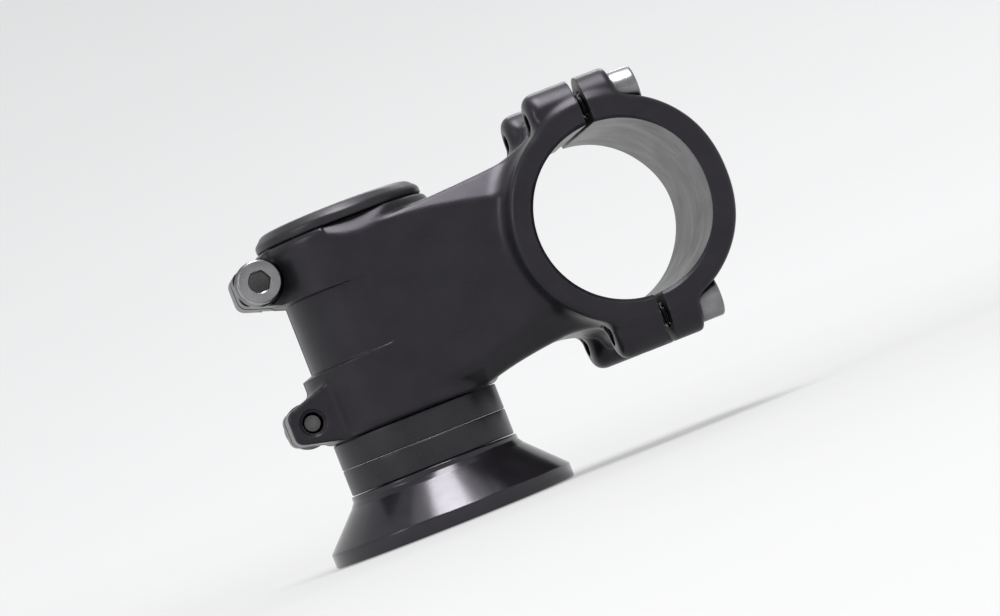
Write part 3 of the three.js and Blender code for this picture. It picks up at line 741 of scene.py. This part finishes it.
def settle(obj, look, body, slot, *nodes):
    """Gives a piece its material, the body that it rides on, and the nodes that it stands for."""
    obj.data.materials.clear()
    obj.data.materials.append(MATERIALS[look])
    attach(obj, body)
    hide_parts(*nodes)
    return obj


# ------------------------------------------------------------------ stem and faceplate
STEP = 0.42  # between the points of a forging's surface


def in_stem(shape):
    """Lifts a shape made about the middle of the steerer clamp to its place."""
    return shape.moved(Matrix.Translation((0, 0, MID)))


def bore_cutter(radius, half, past, flare=0.0):
    """A bore along Z with a chamfer at both ends, which are half above and below the middle."""
    r, c = radius, BORE_CHAMFER
    end = half + past
    profile = [[0, -end], [r + c + flare, -end], [r + c, -half], [r, c - half], [r, half - c], [r + c, half],
               [r + c + flare, end], [0, end]]
    return lathe(profile, 192)


def bar_bore_cutter():
    """The handlebar's bore along Y."""
    bore = bore_cutter(BAR_BORE, BAR_HALF_WIDTH, 5, flare=2)
    return bore.moved(place((BAR_X, 0, BAR_Z), (0, 1, 0)))


def steerer_bore_cutter():
    """The steerer tube's bore through the clamp."""
    return in_stem(bore_cutter(CLAMP_BORE, CLAMP_HALF, 3))


def waist_cutter():
    """The relief round the back of the steerer clamp, whose sloping ledges fade out at the sides."""
    inner, outer = 18.14, 24
    low, high = -5.7, 8.2
    rise = 0.35 * (outer - inner)
    start, end = 93.4, 266.6
    forward = 2.24  # the relief's own centre is in front of the steerer's axis
    ring = sector([[inner, low], [outer, low - rise], [outer, high + rise], [inner, high]], start, end)
    return in_stem(ring.moved(Matrix.Translation((forward, 0, 0))))


def core_cutter():
    """The forging's hollow core, a rounded square open to the handlebar's bore."""
    half_y, half_z, corner = 12.5, 11.0, 3.5
    outline = []
    for side_y, side_z, start in ((1, 1, 0), (-1, 1, 90), (-1, -1, 180), (1, -1, 270)):
        centre = (side_y * (half_y - corner), side_z * (half_z - corner))
        outline += arc(centre, corner, start, start + 90, 8)
    wall = 5.5  # metal left round the steerer's bore
    shape = prism(outline, CLAMP_BORE + wall, BAR_X)
    turn = Matrix(((0, 0, 1, 0), (1, 0, 0, 0), (0, 1, 0, 0), (0, 0, 0, 1)))  # the outline faces +X
    return shape.moved(Matrix.Translation((0, 0, MID + RISE / 2)) @ turn)


def washer_seat(seat, radius, end):
    """The spot face for a washer at height seat, with its edge broken."""
    edge = 0.25
    outer = radius + edge
    return lathe([[0, seat], [radius, seat], [outer, seat + edge], [outer, end], [0, end]], 96)


def pinch_cutters(sign):
    """One pinch bolt's holes: its axis points out of the screw's head."""
    at = place((PINCH_X, 0, MID + sign * PINCH_SPREAD), (0, -sign, 0))
    seat = washer_seat(PINCH_SEAT, 4.7, 20)
    clearance = rod(M5_CLEARANCE, -0.2, 20)
    tapped = thread_cutter(M5_TAP, M5["pitch"], -PINCH_HOLE_DEPTH, 0.6)
    mouth = countersink(M5_TAP + 0.1, TAPPED_END).moved(Matrix.Rotation(math.pi, 4, "X"))
    return [part.moved(at) for part in (seat, clearance, tapped, mouth)]


def build_stem():
    """The stem body: its forging's surface with the bores, slot, relief, core and bolt holes cut out."""
    margin = 1.5  # round the field's grid
    lowest = min(-CLAMP_HALF, RISE - FACE_SPREAD - LUG_R) - margin
    low = (PINCH_X - 6, -BAR_HALF_WIDTH - 1, lowest)
    high = (BAR_X + 2.5, BAR_HALF_WIDTH + 1, RISE + FACE_SPREAD + LUG_R + margin)

    def closed(x, y, z):
        return np.maximum(stem_field(x, y, z), x - BAR_X - margin)

    stem = new_object("stem_forging", in_stem(isosurface(closed, low, high, STEP)))
    cutters = [
        block((BAR_X - HALF_SPLIT, -FAR, MID - FAR), (BAR_X + 40, FAR, MID + FAR)),
        steerer_bore_cutter(),
        bar_bore_cutter(),
        core_cutter(),
        waist_cutter(),
        block((-FAR, -HALF_SLOT, MID - FAR), (-5, HALF_SLOT, MID + FAR)),
    ]
    for corner in CORNERS:
        _, y, z = FACE[corner]
        at = place((BAR_X, y, z), (1, 0, 0))
        cutters.append(thread_cutter(M5_TAP, M5["pitch"], -FACE_HOLE_DEPTH, 4).moved(at))
        cutters.append(countersink(M5_TAP + 0.1, -HALF_SPLIT).moved(at))
    for _, sign in LEVELS:
        cutters += pinch_cutters(sign)
    carve(stem, cutters)
    return settle(stem, "stem", "stem", "stem_finish", "stem_body")


def build_faceplate():
    """The faceplate: its forging's surface with the handlebar's bore and the bolt holes cut out."""
    margin = 1.5  # round the field's grid
    low = (BAR_X - 5, -BAR_HALF_WIDTH - 1, RISE - FACE_SPREAD - LUG_R - margin)
    high = (BAR_X + BAR_OUTER + margin, BAR_HALF_WIDTH + 1, RISE + FACE_SPREAD + LUG_R + margin)
    plate = new_object("faceplate_forging", in_stem(isosurface(faceplate_field, low, high, STEP)))
    cutters = [block((BAR_X - 40, -FAR, MID - FAR), (BAR_X + HALF_SPLIT, FAR, MID + FAR)), bar_bore_cutter()]
    for corner in CORNERS:
        _, y, z = FACE[corner]
        at = place((BAR_X, y, z), (1, 0, 0))
        cutters += [washer_seat(FACE_SEAT, 4.65, 30).moved(at), rod(M5_CLEARANCE, -10, 20).moved(at)]
    carve(plate, cutters)
    return settle(plate, "stem", "faceplate", "stem_finish", "faceplate")


# ------------------------------------------------------------------ screws and washers in place
def build_screws():
    """The six M5 screws and their washers, each placed by the near face of its head."""
    screw = cap_screw("m5_screw", M5_LENGTH, **M5)
    inner, outer, chamfer = 2.75, 4.6, 0.4
    shoulder = 0.75  # where the washer's chamfer begins
    corners = [[inner, 0], [outer, 0], [outer, shoulder], [outer - chamfer, WASHER], [inner, WASHER]]
    washer = turned_ring(corners, 0.12, 96, 3)

    def fasten(bolt, node, under, out, screw_name, washer_name):
        settle(copy_to(screw, screw_name, place(under, out)), "bolt", bolt, "bolt_finish", bolt)
        seat = tuple(np.array(under) - WASHER_GAP * np.array(out))
        settle(new_object(washer_name, washer.moved(place(seat, out))), "bolt", node, "bolt_finish", node)

    for corner in CORNERS:
        bolt = f"faceplate_bolt_{corner}"
        _, y, z = FACE[corner]
        under = (box_mm(bolt)[1][0] - M5["head_h"], y, z)
        fasten(bolt, f"faceplate_washer_{corner}", under, (1, 0, 0), f"faceplate_screw_{corner}",
               f"face_washer_{corner}")
    for level, sign in LEVELS:
        bolt = f"steerer_bolt_{level}"
        low, high = box_mm(bolt)
        x, _, z = PINCH[level]
        y = (low[1] + M5["head_h"]) if sign > 0 else (high[1] - M5["head_h"])
        fasten(bolt, f"steerer_washer_{level}", (x, y, z), (0, -sign, 0), f"pinch_screw_{level}",
               f"pinch_washer_{level}")
    bpy.data.objects.remove(screw)


# ------------------------------------------------------------------ steerer stack
def build_cover():
    """The headset cover. Each corner of its outline is [radius, height, rounding]."""
    outer, top = box_mm("headset_cover")[1][[0, 2]]
    bore, seal_seat, shoulder = 14.7, 16.6, 17.35
    corners = [
        [bore, top, 0.3],
        [bore, 11, 0.1], [seal_seat, 11, 0.2], [seal_seat, 8.6, 0.2], [bore, 8.6, 0.1],
        [bore, 7, 0.3], [19, 7, 0.4], [21, 3.2, 0.3], [22.6, 3.2, 0.2], [22.6, 0, 0.2],  # hollow underneath
        [outer, 0, 0.55], [outer, 2.9, 0.4],  # brim
        [24.55, 3.35, 0.5], [18.1, 9.9, 1.6],  # cone
        [shoulder, top - 1.0, 0.35], [shoulder, top, 0.3],
    ]
    ring = turned_ring([corner[:2] for corner in corners], [corner[2] for corner in corners], 192, 6)
    settle(new_object("cover_cone", ring, 40), "gloss", "steerer_stack", "cover_finish", "headset_cover")


def build_rings():
    """The spacers, the seal and the compression ring."""
    spacer_bore, closer = 14.5, 0.1  # the spacers close most of the gaps between the solids
    for level in ("lower", "upper"):
        low, high = box_mm(f"spacer_{level}")
        bottom, top, outer = low[2] - closer, high[2] + closer, high[0]
        corners = [[spacer_bore, bottom], [outer, bottom], [outer, top], [spacer_bore, top]]
        ring = new_object(f"spacer_ring_{level}", turned_ring(corners, 0.32, 192, 4))
        settle(ring, "turned", "steerer_stack", "turned_finish", f"spacer_{level}")

    low, high = box_mm("steerer_seal")
    bottom, top, outer = low[2], high[2], high[0]
    middle = (bottom + top) / 2
    lips = [[14.4, middle + 0.25], [14.9, middle - 0.15], [14.5, bottom + 0.25], [14.8, bottom],
            [outer, bottom], [outer, top], [14.8, top], [14.5, top - 0.2]]
    settle(new_object("seal_ring", turned_ring(lips, 0.15, 128, 3)), "rubber", "steerer_stack", "seal_rubber",
           "steerer_seal")

    low, high = box_mm("compression_ring")
    bottom, top, wide = low[2], high[2], high[1]
    inner, narrow, taper = 14.4, 16.2, 3
    corners = [[inner, bottom], [narrow, bottom], [wide, bottom + taper], [wide, top], [inner, top]]
    ring = new_object("centring_ring", turned_ring(corners, 0.25, 160, 3))
    carve(ring, [block((-30, -HALF_SLOT, bottom - 5), (-2, HALF_SLOT, top + 5))])
    settle(ring, "bare", "steerer_stack", "ring_finish", "compression_ring")


def build_star_nut():
    """The threaded sleeve and the two dished leaves, whose petals grip the steerer."""
    low, high = box_mm("star_nut_sleeve")
    bottom, top, flange = low[2], high[2], high[1]
    bore, sleeve, lip = 3.1, 4.6, 1.2
    corners = [[bore, bottom], [flange, bottom], [flange, bottom + lip], [sleeve, bottom + lip],
               [sleeve, top - lip], [flange, top - lip], [flange, top], [bore, top]]
    nut = new_object("star_sleeve", turned_ring(corners, 0.22, 96, 3))
    settle(nut, "zinc", "steerer_stack", "sleeve_finish", "star_nut_sleeve")

    petals, bend, inner, thickness, steps = 8, 7.0, 4.75, 0.7, 8
    slot_foot, slot_round, slot_half = 7.6, 1.1, 1.7
    for level in ("lower", "upper"):
        low, high = box_mm(f"star_nut_{level}_leaf")
        z, outer = low[2], high[1]
        lift = high[2] - low[2] - thickness
        dish = []
        for k in range(steps + 1):
            s = k / steps
            dish.append([bend + (outer - bend) * s, z + lift * (0.35 * s + 0.65 * s * s)])
        over = [[radius, height + thickness] for radius, height in reversed(dish)]
        leaf_ring = turned_ring([[inner, z], *dish, *over, [inner, z + thickness]], 0.15, 160, 2)
        leaf = new_object(f"star_leaf_{level}", leaf_ring)
        slot = arc((slot_foot, 0), slot_round, 90, 270, 13) + [(16, -slot_half), (16, slot_half)]
        cutter = prism(slot, z - 2, z + 6)
        carve(leaf, [cutter.moved(Matrix.Rotation(i * 2 * math.pi / petals, 4, "Z")) for i in range(petals)])
        settle(leaf, "spring", "steerer_stack", "leaf_finish", f"star_nut_{level}_leaf")


def build_top_cap():
    """The top cap and its screw. Each corner of the cap's outline is [radius, height, rounding]."""
    low, high = box_mm("top_cap")
    outer, bottom, top = high[0], low[2], high[2]
    base = top - 3.2 - 0.18  # the disc's underside, close to the stem
    seat = top - 4.5  # under the screw's head
    groove = base - 1.5
    corners = [
        [3.3, seat, 0.1], [3.3, bottom, 0.3],  # screw hole
        [10.3, bottom, 0.3], [10.3, groove, 0.2], [10.9, groove, 0.2], [10.9, bottom, 0.3],  # groove
        [12.3, bottom, 0.3], [12.3, base, 0.2],  # plug
        [outer - 0.25, base, 0.1], [outer, base + 0.3, 0.15],
        [outer, top - 1.9, 1.6], [outer - 1.9, top - 0.12, 1.9],  # domed edge
        [7.6, top, 0.25], [7.3, top - 0.25, 0.15],  # turned ring
        [6.6, top - 0.25, 0.15], [6.3, top - 0.05, 0.2],
        [5.75, top - 0.05, 0.2], [5.3, top - 0.5, 0.3], [5.3, seat, 0.2],  # room for the head
    ]
    ring = turned_ring([corner[:2] for corner in corners], [corner[2] for corner in corners], 192, 7)
    settle(new_object("cap_disc", ring, 40), "turned", "top_cap", "turned_finish", "top_cap")

    low, high = box_mm("top_cap_bolt")
    under = high[2] - M6["head_h"]
    screw = cap_screw("cap_screw", under - low[2], **M6)
    placed = copy_to(screw, "cap_centre_screw", place((0, 0, under)))
    bpy.data.objects.remove(screw)
    settle(placed, "bolt", "top_cap_bolt", "bolt_finish", "top_cap_bolt")


build_stem()
build_faceplate()
build_screws()
build_cover()
build_rings()
build_star_nut()
build_top_cap()


# ------------------------------------------------------------------ floor, light and camera
def build_floor():
    """A pale floor, softly lit from within, that sweeps up into a wall all the way round."""
    flat, sweep, wall = 1.0, 1.9, 0.6
    points = [(r, 0.0) for r in (0.0, 0.2, 0.6, flat)]
    points += [(flat + sweep * math.sin(a), sweep * (1 - math.cos(a))) for a in np.radians(range(3, 91, 3))]
    points += [(flat + sweep, sweep + wall)]
    floor = new_object("studio_floor", lathe([[r * 1000, z * 1000] for r, z in points], 96), 60)

    n = Nodes("studio_paper")
    at = n.position()
    away = n.add("ShaderNodeVectorMath", {0: at}, operation="LENGTH").outputs["Value"]
    tone = n.spread(away, 150, 1300, 0.0, 1.0)  # a little lighter far away, where less light falls
    mottle = n.spread(n.noise(at, 0.01, 3.0), 0.3, 0.7, -0.02, 0.02)
    n.link(n.mix(n.math("ADD", tone, mottle), grey(0.25), grey(0.4)), "Base Color")
    settings = {"Emission Color": grey(1.0), "Emission Strength": 0.36, "Roughness": 0.85,
                "Specular IOR Level": 0.2}
    for socket, value in settings.items():
        n.shader.inputs[socket].default_value = value
    floor.data.materials.append(n.material)
    floor.location.z = CAD_BOX[0][2] - 0.0002


def area_light(name, size, energy, at, target):
    """A rectangular lamp of a size in metres and an energy in watts, turned towards its target."""
    data = bpy.data.lights.new(name, "AREA")
    data.shape = "RECTANGLE"
    data.size, data.size_y = size
    data.energy = energy
    light = bpy.data.objects.new(name, data)
    bpy.context.scene.collection.objects.link(light)
    light.location = at
    light.rotation_mode = "QUATERNION"
    light.rotation_quaternion = (Vector(target) - Vector(at)).to_track_quat("-Z", "Y")


def build_lights(centre):
    """Four soft lamps and a pale sky."""
    area_light("top", size=(0.5, 1.2), energy=30, at=(0.1, -0.4, 1.6), target=centre)
    area_light("overhead", size=(1.5, 1.5), energy=8, at=(0.1, 0.3, 2.1), target=centre)
    area_light("key", size=(0.35, 1.0), energy=6, at=(-1.4, -0.8, 0.9), target=centre)
    area_light("rim", size=(1.0, 0.5), energy=7, at=(0.5, 1.5, 1.3), target=centre)
    world = bpy.data.worlds.new("studio")
    world.use_nodes = True
    background = world.node_tree.nodes["Background"].inputs
    background["Color"].default_value = (0.92, 0.95, 1.0, 1)
    background["Strength"].default_value = 0.55
    bpy.context.scene.world = world


def build_camera(centre):
    """The camera on the part's right, a little behind it and just below level, rolled to lean the steerer."""
    azimuth, elevation, roll = math.radians(-8), math.radians(-1.5), math.radians(-21.5)
    distance = 0.74
    level = math.cos(elevation)
    back = Vector((math.sin(azimuth) * level, -math.cos(azimuth) * level, math.sin(elevation)))
    data = bpy.data.cameras.new("camera")
    data.lens, data.sensor_width = 135, 36
    data.clip_start, data.clip_end = 0.01, 20
    camera = bpy.data.objects.new("camera", data)
    bpy.context.scene.collection.objects.link(camera)
    camera.location = Vector(centre) + back * distance
    camera.rotation_mode = "QUATERNION"
    aim = (-back).to_track_quat("-Z", "Y").to_matrix().to_4x4()
    camera.rotation_quaternion = (aim @ Matrix.Rotation(roll, 4, "Z")).to_quaternion()
    bpy.context.scene.camera = camera


CENTRE = (Vector(CAD_BOX[0]) + Vector(CAD_BOX[1])) / 2
build_floor()
build_lights(CENTRE)
build_camera(CENTRE)
bpy.context.scene.view_settings.view_transform = "Standard"
